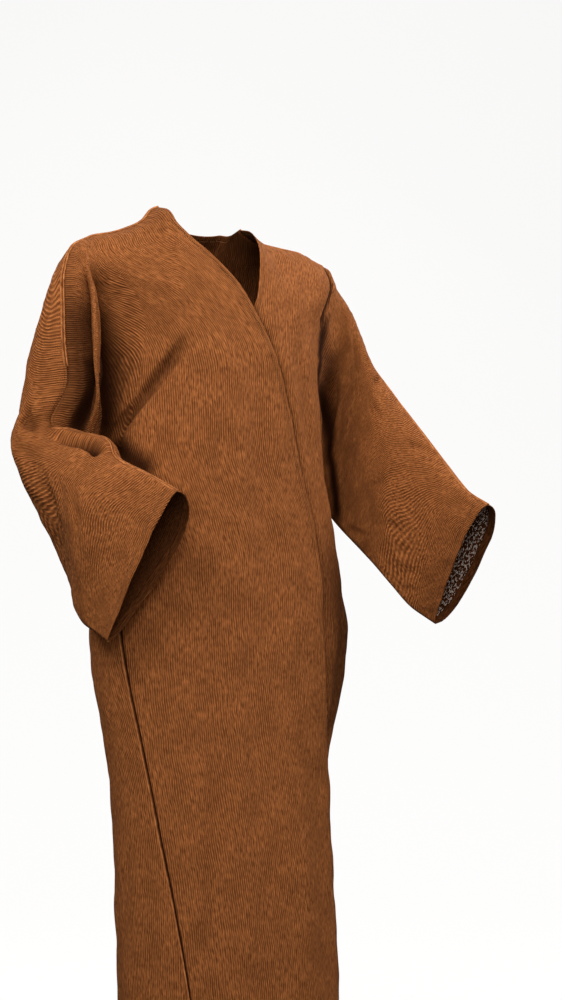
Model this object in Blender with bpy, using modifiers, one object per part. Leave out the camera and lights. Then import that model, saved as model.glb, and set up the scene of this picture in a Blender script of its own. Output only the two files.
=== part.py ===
"""An open-front abaya as it is worn: two fronts and a back, each cut in one with its half of the sleeves."""
import bmesh
import bpy
import numpy as np
from mathutils import Vector

# Frame, in metres: +X is the wearer's left, -Y the front and +Z up.
# The origin is on the shoulder line, where the wearer's shoulders carry the collar.

# The cut
garment_length = 1.42
armhole_depth = 0.43
back_neck_drop = 0.024
cloth = 0.0018
seam_gap = 0.0003
lap_gap = 0.005
seam_width = 0.0064
seam_height = 0.0011
welt_lift = 0.0007
hem_width = 0.014
hem_height = 0.0014
hem_lift = 0.0004

# How far the panels' edges are drawn back from the line of a seam, which bends most at the underarm corner
edge_back = 0.0010
corner_back = (0.003, 0.004, 0.0025)
seam_spread = 0.0016

# The share of a sleeve's depth that is filled by the arm, from the overarm seam
arm_share = 0.30

cloth_colour = (0.19, 0.065, 0.020)
seam_colour = (0.16, 0.054, 0.016)

# Grid of the panels
yoke_rows = 22
skirt_rows = 12
sleeve_columns = 15
right_front_columns = 10
left_front_columns = 8
neck_columns = 4
column_growth = 1.3
row_growth = 1.4
hem_rows = 21
free_columns = 2

# Rings of the body, by the drop below the shoulder line. Half widths and depths are from the ring's centre.
BODY = (
    # drop, centre_x, centre_y, right, left, front, back
    (0.00, 0.000, 0.000, 0.262, 0.280, 0.000, 0.000),
    (0.01, 0.001, -0.002, 0.262, 0.280, 0.034, 0.034),
    (0.03, 0.002, -0.004, 0.260, 0.277, 0.058, 0.062),
    (0.06, 0.004, -0.006, 0.250, 0.265, 0.080, 0.086),
    (0.10, 0.006, -0.008, 0.228, 0.236, 0.101, 0.106),
    (0.15, 0.008, -0.010, 0.203, 0.205, 0.118, 0.120),
    (0.20, 0.010, -0.010, 0.190, 0.189, 0.128, 0.127),
    (0.27, 0.010, -0.010, 0.186, 0.188, 0.136, 0.128),
    (0.35, 0.010, -0.010, 0.186, 0.194, 0.136, 0.124),
    (0.43, 0.010, -0.010, 0.188, 0.204, 0.133, 0.124),
    (0.52, 0.010, -0.010, 0.194, 0.224, 0.131, 0.130),
    (0.62, 0.010, -0.010, 0.212, 0.243, 0.130, 0.141),
    (0.69, 0.010, -0.010, 0.219, 0.254, 0.130, 0.145),
    (0.78, 0.010, -0.010, 0.209, 0.243, 0.130, 0.143),
    (0.86, 0.010, -0.010, 0.194, 0.220, 0.131, 0.140),
    (0.95, 0.010, -0.010, 0.181, 0.206, 0.132, 0.137),
    (1.10, 0.010, -0.010, 0.171, 0.204, 0.136, 0.134),
    (1.42, 0.010, -0.010, 0.162, 0.212, 0.143, 0.134),
)

# The shoulder line seen from the front
SHOULDER = (
    # x, z
    (-0.230, -0.062),
    (-0.212, -0.052),
    (-0.176, -0.043),
    (-0.147, -0.032),
    (-0.119, -0.017),
    (-0.100, 0.004),
    (-0.090, 0.008),
    (-0.075, 0.010),
    (0.050, 0.000),
    (0.066, -0.013),
    (0.080, -0.023),
    (0.102, -0.032),
    (0.130, -0.036),
    (0.162, -0.039),
    (0.183, -0.041),
    (0.203, -0.049),
    (0.232, -0.058),
)

# Where the free edges of the fronts lie across the body
EDGES = (
    # drop, right_front_x, left_front_x, right_front_flare
    (0.00, -0.090, 0.066, 0.000),
    (0.03, -0.090, 0.062, 0.000),
    (0.06, -0.074, 0.054, 0.000),
    (0.09, -0.046, 0.044, 0.000),
    (0.13, -0.011, 0.031, 0.000),
    (0.17, 0.014, 0.016, 0.000),
    (0.22, 0.040, 0.004, 0.000),
    (0.30, 0.068, -0.010, 0.000),
    (0.43, 0.108, -0.025, 0.000),
    (0.58, 0.151, -0.040, 0.001),
    (0.75, 0.159, -0.045, 0.003),
    (0.87, 0.166, -0.050, 0.007),
    (1.02, 0.178, -0.050, 0.012),
    (1.26, 0.193, -0.050, 0.018),
    (1.42, 0.200, -0.050, 0.020),
)

# The seam between front and back down each side, as an angle round the body from the front's middle
SIDE_SEAMS = (
    # drop, right_angle, left_angle
    (0.43, 90, 90),
    (0.50, 82, 91),
    (0.60, 72, 92),
    (0.70, 66, 92),
    (0.80, 63, 90),
    (0.90, 60, 88),
    (1.00, 55, 86),
    (1.11, 48, 84),
    (1.28, 39, 81),
    (1.42, 34, 80),
)

# The line where body turns to sleeve, as angles round the body
ARMHOLE = (
    # share_of_depth, front_angle, back_angle
    (0.00, 56, 124),
    (0.02, 56, 123),
    (0.07, 56, 120),
    (0.14, 56, 117),
    (0.23, 57, 115),
    (0.35, 58, 112),
    (0.47, 60, 110),
    (0.70, 69, 103),
    (0.85, 80, 97),
    (1.00, 90, 90),
)

# Stations down each sleeve, by the distance from the armhole along the overarm seam: that seam, the underarm
# seam, the ways that the front half and the back half face (degrees from +X towards +Y), how far each stands
# out, how much of the drop comes late (1 carries the cloth level round the arm first) and how far down each
# half stays out
RIGHT_SLEEVE = (
    # along, top_x, top_y, top_z, low_x, low_y, low_z, fore_way, rear_way, fore_out, rear_out, late,
    # fore_slack, rear_slack
    (0.04, -0.251, -0.015, -0.074, -0.196, 0.000, -0.462, -84, 105, 0.050, 0.034, 0.5, 0.30, 0.30),
    (0.09, -0.272, -0.026, -0.118, -0.207, 0.006, -0.490, -78, 120, 0.064, 0.042, 0.7, 0.30, 0.30),
    (0.15, -0.280, -0.040, -0.180, -0.218, 0.012, -0.516, -74, 130, 0.067, 0.056, 0.7, 0.30, 0.30),
    (0.21, -0.281, -0.046, -0.238, -0.228, 0.015, -0.542, -72, 130, 0.066, 0.072, 0.7, 0.30, 0.30),
    (0.27, -0.276, -0.045, -0.297, -0.234, 0.015, -0.570, -60, 135, 0.058, 0.082, 0.6, 0.28, 0.28),
    (0.34, -0.291, -0.018, -0.360, -0.238, 0.010, -0.602, -20, 165, 0.046, 0.068, 0.4, 0.26, 0.45),
    (0.40, -0.253, -0.045, -0.381, -0.247, -0.010, -0.630, 20, 205, 0.040, 0.064, 0.2, 0.28, 0.26),
    (0.45, -0.226, -0.082, -0.393, -0.255, -0.035, -0.652, 25, 205, 0.044, 0.071, 0.1, 0.30, 0.36),
    (0.50, -0.224, -0.120, -0.419, -0.255, -0.060, -0.672, 20, 200, 0.052, 0.058, 0.0, 0.35, 0.36),
    (0.56, -0.205, -0.175, -0.444, -0.246, -0.088, -0.688, 25, 205, 0.062, 0.023, 0.0, 0.45, 0.35),
    (0.62, -0.181, -0.230, -0.473, -0.240, -0.115, -0.701, 27, 207, 0.070, 0.014, 0.0, 0.60, 0.60),
)
LEFT_SLEEVE = (
    # along, top_x, top_y, top_z, low_x, low_y, low_z, fore_way, rear_way, fore_out, rear_out, late,
    # fore_slack, rear_slack
    (0.04, 0.255, 0.000, -0.090, 0.222, 0.000, -0.456, -95, 85, 0.038, 0.040, 0.4, 0.35, 0.35),
    (0.08, 0.278, 0.000, -0.120, 0.236, 0.000, -0.474, -96, 84, 0.044, 0.048, 0.5, 0.35, 0.35),
    (0.12, 0.297, 0.000, -0.152, 0.250, 0.000, -0.490, -98, 82, 0.048, 0.052, 0.5, 0.35, 0.35),
    (0.18, 0.318, -0.010, -0.209, 0.270, -0.006, -0.514, -102, 78, 0.050, 0.056, 0.4, 0.35, 0.35),
    (0.26, 0.350, -0.045, -0.276, 0.298, -0.022, -0.548, -125, 55, 0.048, 0.058, 0.2, 0.38, 0.38),
    (0.32, 0.366, -0.082, -0.325, 0.320, -0.034, -0.575, -145, 35, 0.044, 0.054, 0.1, 0.42, 0.42),
    (0.39, 0.381, -0.125, -0.378, 0.346, -0.052, -0.612, -156, 24, 0.038, 0.052, 0.0, 0.46, 0.55),
    (0.46, 0.394, -0.173, -0.434, 0.372, -0.074, -0.650, -160, 20, 0.032, 0.052, 0.0, 0.50, 0.80),
    (0.50, 0.397, -0.200, -0.457, 0.388, -0.090, -0.666, -161, 19, 0.029, 0.052, 0.0, 0.55, 1.00),
    (0.54, 0.409, -0.235, -0.478, 0.400, -0.104, -0.678, -162, 18, 0.026, 0.054, 0.0, 0.60, 1.20),
)

# The soft folds that hang down the body, as troughs (a ridge has a negative depth), by their angle round it
DRAPE = (
    # angle, width, depth, start_drop, full_drop
    (-21, 13, 0.007, 0.25, 0.90),
    (5, 8, 0.004, 0.15, 0.40),
    (-48, 12, -0.004, 0.60, 1.10),
    (30, 12, -0.004, 0.60, 1.10),
    (104, 10, 0.012, 0.70, 1.20),
    (128, 11, -0.008, 0.60, 1.20),
    (152, 12, 0.014, 0.30, 1.10),
    (180, 13, -0.010, 0.25, 1.00),
    (207, 12, 0.015, 0.35, 1.15),
    (230, 11, -0.007, 0.60, 1.20),
    (250, 10, 0.009, 0.75, 1.25),
)

# The largest folds, as troughs in the flat cut: each runs from one point to another, given by its distance
# beyond the armhole and below the overarm seam
FOLDS = {
    "front_right": (
        # along_0, down_0, along_1, down_1, width, depth
        (0.080, 0.046, 0.260, 0.052, 0.018, 0.020),
        (0.022, 0.070, 0.028, 0.380, 0.022, 0.030),
        (-0.120, 0.280, -0.010, 0.400, 0.022, 0.010),
    ),
    "front_left": (
        # along_0, down_0, along_1, down_1, width, depth
        (0.030, 0.060, 0.100, 0.300, 0.016, 0.012),
    ),
    "back": (),
}


def through(table, column):
    """A smooth curve through one column of a table, by the table's first column, with no overshoot."""
    x = np.array([row[0] for row in table], float)
    y = np.array([row[column] for row in table], float)
    step = np.diff(x)
    rise = np.diff(y) / step
    slope = np.zeros(len(x))
    slope[0], slope[-1] = rise[0], rise[-1]
    for i in range(1, len(x) - 1):
        if rise[i - 1] * rise[i] > 0:
            before, after = 2 * step[i] + step[i - 1], step[i] + 2 * step[i - 1]
            slope[i] = (before + after) / (before / rise[i - 1] + after / rise[i])

    def at(value):
        value = np.clip(np.asarray(value, float), x[0], x[-1])
        i = np.clip(np.searchsorted(x, value) - 1, 0, len(x) - 2)
        t = (value - x[i]) / step[i]
        return (
            (1 + 2 * t) * (1 - t) ** 2 * y[i]
            + t * (1 - t) ** 2 * step[i] * slope[i]
            + t * t * (3 - 2 * t) * y[i + 1]
            - t * t * (1 - t) * step[i] * slope[i + 1]
        )

    return at


def ease(value, start, end):
    """Rises smoothly from 0 at start to 1 at end."""
    t = np.clip((value - start) / (end - start), 0, 1)
    return t * t * (3 - 2 * t)


def flow(knots, points, at):
    """A smooth curve through points at knots, of cubics whose slopes come from their neighbours."""
    knots = np.asarray(knots, float)
    step = np.diff(knots)
    rise = np.diff(points, axis=0) / step[:, None]
    slope = np.empty_like(points)
    slope[0], slope[-1] = rise[0], rise[-1]
    share = (step[:-1] / (step[:-1] + step[1:]))[:, None]
    slope[1:-1] = rise[:-1] * (1 - share) + rise[1:] * share
    i = np.clip(np.searchsorted(knots, at) - 1, 0, len(knots) - 2)
    t = ((at - knots[i]) / step[i])[:, None]
    width = step[i][:, None]
    return (
        (1 + 2 * t) * (1 - t) ** 2 * points[i]
        + t * (1 - t) ** 2 * width * slope[i]
        + t * t * (3 - 2 * t) * points[i + 1]
        - t * t * (1 - t) * width * slope[i + 1]
    )


centre_x, centre_y, half_right, half_left, depth_front, depth_back = (through(BODY, k) for k in range(1, 7))
shoulder_z = through(SHOULDER, 1)
edge_right, edge_left, flare = (through(EDGES, k) for k in range(1, 4))
seam_right, seam_left = through(SIDE_SEAMS, 1), through(SIDE_SEAMS, 2)
armhole_front, armhole_back = through(ARMHOLE, 1), through(ARMHOLE, 2)


def drape_depth(drop, angle):
    """How far the hanging folds push the cloth in."""
    depth = 0.0
    for centre, width, size, start, full in DRAPE:
        aside = (angle - centre + 180) % 360 - 180
        depth = depth + size * ease(drop, start, full) * np.exp(-((aside / width) ** 2))
    return depth


def body_point(drop, angle, inset=0.0):
    """The cloth round the body, by degrees from the front's middle, positive to the wearer's left."""
    turn = np.radians(angle)
    inset = inset + drape_depth(drop, angle)
    side, ahead = np.sin(turn), np.cos(turn)
    half = np.where(side > 0, half_left(drop), half_right(drop)) - inset
    depth = np.maximum(np.where(ahead > 0, depth_front(drop), depth_back(drop)) - inset, 0)
    x = centre_x(drop) + half * side
    y = centre_y(drop) - depth * ahead
    z = -drop + shoulder_z(x) * (1 - ease(drop, 0, 0.25))
    return np.stack([x, y, z], -1)


def edge_angle(edge, drop):
    """The angle round the body of a front's free edge."""
    across = edge(drop) - centre_x(drop)
    return np.degrees(np.arcsin(across / np.where(across > 0, half_left(drop), half_right(drop))))


def sleeve_point(station, share, front):
    """A point on one half of a sleeve's section, by the share of the way down from the overarm seam."""
    top, low = np.array(station[1:4]), np.array(station[4:7])
    late, slack = station[11], station[12 if front else 13]
    turn, out = np.radians(station[7 if front else 8]), station[9 if front else 10]
    way = np.array([np.cos(turn), np.sin(turn), 0])
    round_arm = np.sqrt(np.clip(1 - (1 - share / arm_share) ** 2, 0, 1))
    below = np.clip((share - arm_share) / (1 - arm_share), 0, 1)
    hanging = (1 - slack) * (1 - below) ** 2 * (1 + 2 * below) + slack * np.sqrt(1 - below**2)
    bulge = out * np.where(share < arm_share, round_arm, hanging)
    apart = (cloth + seam_gap / 2) * ease(share, 0, 0.3) + seam_spread * ease(share, 0.8, 1)
    down = share * (1 - late) + share**2 * late
    return top + (low - top) * np.array([share, share, down]) + way * (bulge + apart)


def unit(vectors):
    return vectors / np.maximum(np.linalg.norm(vectors, axis=-1, keepdims=True), 1e-9)


class Half:
    """One half of a panel: a front, or half of the back, with its half of a sleeve."""

    def __init__(self, panel, side, front, edge, seam, sleeve, columns):
        self.panel, self.side, self.front = panel, side, front
        self.edge, self.seam, self.sleeve, self.columns = edge, seam, sleeve, columns
        shoulder = edge_right if side < 0 else edge_left
        self.neck = 180 - abs(float(edge_angle(shoulder, 0.0)))

    def start_angle(self, drop):
        return edge_angle(self.edge, drop) * self.side if self.front else np.full_like(drop, 180.0)

    def inset(self, across, drop):
        """The left front lies under the right one where they lap, and the right one's edge flares out."""
        lap = edge_right(drop)
        if self.panel == "front_left":
            return lap_gap * (1 - ease(across, lap, lap + 0.018)) * ease(drop, 0.05, 0.2)
        if self.panel == "front_right":
            return -flare(drop) * ease(across, 0.0, lap)
        return 0.0

    def body(self, drop, angle):
        angle = angle * self.side
        return body_point(drop, angle, self.inset(body_point(drop, angle)[..., 0], drop))

    def neck_drop(self, angle):
        """How far the back's neckline dips below the shoulder line."""
        if self.front:
            return np.zeros_like(angle)
        across = np.sin(np.radians(angle)) / np.sin(np.radians(self.neck))
        return back_neck_drop * np.sqrt(np.clip(1 - across**2, 0, 1))

    def turns(self, share, start, stop):
        """Angles of a row's columns: on the back, one is at the corner of the neck in the top row."""
        even = np.linspace(0, 1, self.columns + 1)
        if self.front:
            return start + (stop - start) * even
        split = neck_columns / self.columns
        corner = self.neck + (180 + (stop - 180) * split - self.neck) * ease(share, 0, 0.4)
        return np.interp(even, [0, split, 1], [180, corner, stop])

    def row(self, share):
        """One row of the yoke, from its inner edge past the armhole to the cuff, with its flat places."""
        drop = np.full(self.columns + 1, armhole_depth * share)
        stop = float(armhole_front(share) if self.front else armhole_back(share))
        angles = self.turns(share, self.start_angle(drop), stop)
        drop = drop + self.neck_drop(angles) * (1 - share)
        body = self.body(drop, angles)
        first = sleeve_point(self.sleeve[0], share, self.front)
        lead = self.body(drop[-1:], angles[-1:] + 0.12 * (angles[:1] - stop))[0]
        straight = body[-1] - unit(first - body[-1]) * np.linalg.norm(lead - body[-1])
        lead = straight + (lead - straight) * ease(share, 0, 0.15) * (1 - ease(share, 0.6, 1))
        knots = [-float(np.linalg.norm(lead - body[-1])), 0.0] + [station[0] for station in self.sleeve]
        points = [lead, body[-1]] + [sleeve_point(station, share, self.front) for station in self.sleeve]
        along = knots[-1] * (np.arange(1, sleeve_columns + 1) / sleeve_columns) ** column_growth
        arm = flow(knots, np.array(points), along)
        steps = np.linalg.norm(np.diff(body, axis=0), axis=1)
        across = np.concatenate([-np.cumsum(steps[::-1])[::-1], [0.0], along])
        return np.concatenate([body, arm]), across

    def skirt_row(self, drop):
        drops = np.full(self.columns + 1, drop)
        start = self.start_angle(drops)
        stop = float(self.seam(drop))
        return self.body(drops, start + (stop - start) * np.linspace(0, 1, self.columns + 1))


def yoke_share(k):
    """Rows lie closer together at the overarm seam, where the folds are."""
    return (k / yoke_rows) ** row_growth


def fold_depth(panel, along, down):
    """How far the folds push the cloth in at a place of the flat cut."""
    depth = np.zeros_like(along)
    for along_0, down_0, along_1, down_1, width, size in FOLDS[panel]:
        run = np.array([along_1 - along_0, down_1 - down_0])
        length = float(np.hypot(*run))
        run = run / length
        ahead = ((along - along_0) * run[0] + (down - down_0) * run[1]) / length
        aside = (along - along_0) * run[1] - (down - down_0) * run[0]
        ends = ease(ahead, -0.15, 0.2) * (1 - ease(ahead, 0.8, 1.15))
        depth += size * ends * np.exp(-((aside / width) ** 2) * 1.5)
    return depth


def half_panel(half):
    """The yoke and skirt grids of a half panel, with its folds pressed in along the cloth's own normals."""
    rows, across = zip(*(half.row(yoke_share(k)) for k in range(yoke_rows + 1)))
    yoke, across = np.array(rows), np.array(across)
    drops = np.linspace(armhole_depth, garment_length, skirt_rows + 1)[1:]
    skirt = np.array([half.skirt_row(drop) for drop in drops])
    down = np.repeat([[armhole_depth * yoke_share(k)] for k in range(yoke_rows + 1)], yoke.shape[1], axis=1)
    outward = unit(np.cross(np.gradient(yoke, axis=0), np.gradient(yoke, axis=1)))
    if half.front == (half.side > 0):
        outward = -outward
    yoke = yoke - outward * fold_depth(half.panel, across, down)[..., None]
    return yoke, skirt


def draw_back(yoke, skirt, columns):
    """Pulls the edges that are sewn to another panel back from the seam's line."""
    yoke[0] += unit(yoke[1] - yoke[0]) * edge_back
    seam_rows = [*yoke[-2:], *skirt]
    backs = corner_back + (edge_back,) * (len(seam_rows) - len(corner_back))
    for row, back in zip(seam_rows, backs):
        row[columns] += unit(row[columns - 1] - row[columns]) * back
    return yoke, skirt


def sheet(name, yoke, skirt, skirt_start, outside, material):
    """A wall of cloth: an L-shaped or T-shaped grid of points with a Solidify modifier."""
    mesh_data = bmesh.new()
    above = [[mesh_data.verts.new(point) for point in row] for row in yoke]
    width = skirt.shape[1]
    below = [above[-1][skirt_start:skirt_start + width]]
    below += [[mesh_data.verts.new(point) for point in row] for row in skirt]
    for grid in (above, below):
        for upper, lower in zip(grid, grid[1:]):
            for k in range(len(upper) - 1):
                mesh_data.faces.new((upper[k], lower[k], lower[k + 1], upper[k + 1]))
    mesh_data.normal_update()
    if below[1][width // 2].link_faces[0].normal.dot(outside) < 0:
        bmesh.ops.reverse_faces(mesh_data, faces=mesh_data.faces)
    return finish(name, mesh_data, material, wall=cloth)


def finish(name, mesh_data, material, wall=None):
    """Makes the named object of a finished bmesh."""
    mesh = bpy.data.meshes.new(name)
    mesh_data.to_mesh(mesh)
    mesh_data.free()
    mesh.shade_smooth()
    piece = bpy.data.objects.new(name, mesh)
    GARMENT.objects.link(piece)
    mesh.materials.append(material)
    if wall:
        solidify = piece.modifiers.new("Cloth", "SOLIDIFY")
        solidify.thickness = wall
        solidify.offset = -1.0
        solidify.use_even_offset = False
    return piece


def strip(name, tracks, normals, height, lift, material):
    """A flat welt along tracks that run side by side, standing up along the normals."""
    mesh_data = bmesh.new()
    loops = []
    for k, up in enumerate(normals):
        under = [track[k] + up * lift for track in tracks]
        over = [track[k] + up * (lift + height) for track in tracks[::-1]]
        loops.append([mesh_data.verts.new(corner) for corner in under + over])
    around = len(loops[0])
    for first, second in zip(loops, loops[1:]):
        for k in range(around):
            mesh_data.faces.new((first[k], first[(k + 1) % around], second[(k + 1) % around], second[k]))
    mesh_data.faces.new(loops[0][::-1])
    mesh_data.faces.new(loops[-1])
    bmesh.ops.recalc_face_normals(mesh_data, faces=mesh_data.faces)
    return finish(name, mesh_data, material)


def welt(name, line, to_front, to_back, away, material):
    """A raised felled seam along a line, lying on the two panels that it joins."""
    up = unit(np.cross(unit(np.gradient(line, axis=0)), unit(to_front) - unit(to_back)))
    up = up * np.sign(np.sum(up * away, axis=-1, keepdims=True))
    fore, rear = (line + unit(way) * seam_width / 2 for way in (to_front, to_back))
    return strip(name, [fore, line, rear], up, seam_height, welt_lift, material)


def overarm_seam(fore, rear):
    """The shoulder seam and the overarm seam in one run, from the neck to the cuff."""
    front, back = fore[0], rear[0][:, neck_columns:]
    line = (front[0] + back[0]) / 2
    inside = (front[yoke_rows // 3] + back[yoke_rows // 3]) / 2
    return line, front[1] - line, back[1] - line, line - inside


def underarm_seam(fore, rear):
    """The seam below the sleeve, from the body to the cuff, across the ends of its two halves."""
    front, back = (yoke[:, free_columns - sleeve_columns:] for yoke in (fore[0], rear[0]))
    line = (front[-1] + back[-1]) / 2
    inside = (front[-yoke_rows // 5] + back[-yoke_rows // 5]) / 2
    return line, front[-1] - line, back[-1] - line, line - inside


def side_seam(fore, rear):
    """The seam down the side, from the underarm to the hem."""
    (front, front_next), (back, back_next) = (
        (skirt[:, -1], skirt[:, -2]) for skirt in (fore[1], rear[1])
    )
    line = (front + back) / 2
    away = line * np.array([1, 1, 0]) - np.array([centre_x(0.8), centre_y(0.8), 0])
    return line, front_next - line, back_next - line, away


def cuff_hem(name, halves, material):
    """The turned hem just inside a cuff, all round but for the underarm seam."""
    runs = []
    for half, yoke in halves:
        edge, before = yoke[:hem_rows, -1], yoke[:hem_rows, -2]
        run = unit(before - edge)
        turn = np.radians(half.sleeve[-1][7 if half.front else 8])
        facing = np.array([np.cos(turn), np.sin(turn), 0])
        out = unit(np.cross(np.gradient(edge, axis=0), run))
        out = out * np.sign(np.sum(out[hem_rows // 2] * facing))
        inner_face = edge - out * (cloth + hem_lift)
        runs.append((inner_face + run * hem_lift, inner_face + run * hem_width, -out))
    left, right, normals = (np.concatenate([fore[::-1], rear[1:]]) for fore, rear in zip(*runs))
    return strip(name, [left, right], normals, hem_height, 0.0, material)


def cloth_material(name, colour):
    material = bpy.data.materials.new(name)
    material.use_nodes = True
    shader = material.node_tree.nodes["Principled BSDF"]
    shader.inputs["Base Color"].default_value = (*colour, 1)
    shader.inputs["Roughness"].default_value = 0.85
    shader.inputs["Metallic"].default_value = 0.0
    return material


for old in list(bpy.data.objects):
    bpy.data.objects.remove(old)
GARMENT = bpy.data.collections.new("abaya")
bpy.context.scene.collection.children.link(GARMENT)

FRONT_RIGHT = Half("front_right", -1, True, edge_right, seam_right, RIGHT_SLEEVE, right_front_columns)
FRONT_LEFT = Half("front_left", 1, True, edge_left, seam_left, LEFT_SLEEVE, left_front_columns)
BACK_RIGHT = Half("back", -1, False, None, seam_right, RIGHT_SLEEVE, neck_columns + right_front_columns)
BACK_LEFT = Half("back", 1, False, None, seam_left, LEFT_SLEEVE, neck_columns + left_front_columns)


def build():
    front = Vector((0, -1, 0))
    halves = (FRONT_RIGHT, FRONT_LEFT, BACK_RIGHT, BACK_LEFT)
    grids = {half: draw_back(*half_panel(half), half.columns) for half in halves}
    for half in (FRONT_RIGHT, FRONT_LEFT):
        sheet(half.panel, *grids[half], 0, front, cloth_material(half.panel, cloth_colour))
    (right_yoke, right_skirt), (left_yoke, left_skirt) = grids[BACK_RIGHT], grids[BACK_LEFT]
    yoke = np.concatenate([right_yoke[:, ::-1], left_yoke[:, 1:]], axis=1)
    skirt = np.concatenate([right_skirt[:, ::-1], left_skirt[:, 1:]], axis=1)
    sheet("back", yoke, skirt, sleeve_columns, -front, cloth_material("back", cloth_colour))
    for side, fore, rear in (("right", FRONT_RIGHT, BACK_RIGHT), ("left", FRONT_LEFT, BACK_LEFT)):
        for seam, run in (("overarm", overarm_seam), ("underarm", underarm_seam), ("side", side_seam)):
            name = f"seam_{seam}_{side}"
            welt(name, *run(grids[fore], grids[rear]), cloth_material(name, seam_colour))
        name = f"hem_cuff_{side}"
        cuff_hem(name, [(fore, grids[fore][0]), (rear, grids[rear][0])], cloth_material(name, seam_colour))


build()
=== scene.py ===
import bmesh
import bpy
import numpy as np
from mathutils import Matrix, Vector


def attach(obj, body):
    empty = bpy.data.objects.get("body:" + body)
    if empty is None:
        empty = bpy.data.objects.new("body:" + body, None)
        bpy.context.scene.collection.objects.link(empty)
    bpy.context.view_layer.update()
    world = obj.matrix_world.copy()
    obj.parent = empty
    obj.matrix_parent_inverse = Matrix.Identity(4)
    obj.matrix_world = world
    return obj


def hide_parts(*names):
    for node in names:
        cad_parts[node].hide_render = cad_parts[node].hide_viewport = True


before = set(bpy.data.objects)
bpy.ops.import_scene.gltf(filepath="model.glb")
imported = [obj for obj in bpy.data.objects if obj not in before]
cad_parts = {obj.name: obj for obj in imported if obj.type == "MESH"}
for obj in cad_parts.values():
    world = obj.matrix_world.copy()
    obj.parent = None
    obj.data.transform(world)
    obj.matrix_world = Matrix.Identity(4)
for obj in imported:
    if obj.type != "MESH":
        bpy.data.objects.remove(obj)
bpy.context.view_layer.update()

scene = bpy.context.scene

# The garment's cut and pose. The curves are those of the part's source, drawn more finely.
cut = {
    # in metres, apart from armShare, the part of a sleeve's height that lies round the arm
    "length": 1.42,
    "armholeDepth": 0.43,
    "backNeckDrop": 0.024,
    "shoulderReach": 0.25,
    "lapGap": 0.005,
    "lapReach": 0.018,
    "lapStart": (0.05, 0.2),
    "armShare": 0.30,
    "clothThickness": 0.0010,
    "halfGap": 0.0012,
    "seamSpread": 0.0006,
    "edgeBack": 0.0004,
    "seamTurnIn": 0.0048,
    "edgeLift": 0.0015,
    "neckStitch": 0.008,
    "cuffStitch": 0.014,
    "bottomStitch": 0.020,
}

# Rings round the body, the line of the shoulders and the free edges, all in millimetres
bodyRings = (
    # drop, centreX, centreY, right, left, front, back
    (0, 0, 0, 262, 280, 0, 0),
    (10, 1, -2, 262, 280, 34, 34),
    (30, 2, -4, 260, 277, 58, 62),
    (60, 4, -6, 250, 265, 80, 86),
    (100, 6, -8, 228, 236, 101, 106),
    (150, 8, -10, 203, 205, 118, 120),
    (200, 10, -10, 190, 189, 128, 127),
    (270, 10, -10, 186, 188, 136, 128),
    (350, 10, -10, 186, 194, 136, 124),
    (430, 10, -10, 188, 204, 133, 124),
    (520, 10, -10, 194, 224, 131, 130),
    (620, 10, -10, 212, 243, 130, 141),
    (690, 10, -10, 219, 254, 130, 145),
    (780, 10, -10, 209, 243, 130, 143),
    (860, 10, -10, 194, 220, 131, 140),
    (950, 10, -10, 181, 206, 132, 137),
    (1100, 10, -10, 171, 204, 136, 134),
    (1420, 10, -10, 162, 212, 143, 134),
)
shoulderLine = (
    # x, z
    (-230, -62), (-212, -52), (-176, -43), (-147, -32), (-119, -17), (-100, 4), (-90, 8), (-75, 10),
    (50, 0), (66, -13), (80, -23), (102, -32), (130, -36), (162, -39), (183, -41), (203, -49), (232, -58),
)
freeEdges = (
    # drop, rightFrontX, leftFrontX, rightFrontFlare
    (0, -90, 66, 0),
    (30, -90, 62, 0),
    (60, -74, 54, 0),
    (90, -46, 44, 0),
    (130, -11, 31, 0),
    (170, 14, 16, 0),
    (220, 40, 4, 0),
    (300, 68, -10, 0),
    (430, 108, -25, 0),
    (580, 151, -40, 1),
    (750, 159, -45, 3),
    (870, 166, -50, 7),
    (1020, 178, -50, 12),
    (1260, 193, -50, 18),
    (1420, 200, -50, 20),
)
sideSeams = (
    # drop, rightAngle, leftAngle
    (0.43, 90, 90),
    (0.50, 82, 91),
    (0.60, 72, 92),
    (0.70, 66, 92),
    (0.80, 63, 90),
    (0.90, 60, 88),
    (1.00, 55, 86),
    (1.11, 48, 84),
    (1.28, 39, 81),
    (1.42, 34, 80),
)
armholeLine = (
    # shareOfDepth, frontAngle, backAngle
    (0.00, 56, 124),
    (0.02, 56, 123),
    (0.07, 56, 120),
    (0.14, 56, 117),
    (0.23, 57, 115),
    (0.35, 58, 112),
    (0.47, 60, 110),
    (0.70, 69, 103),
    (0.85, 80, 97),
    (1.00, 90, 90),
)
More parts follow.
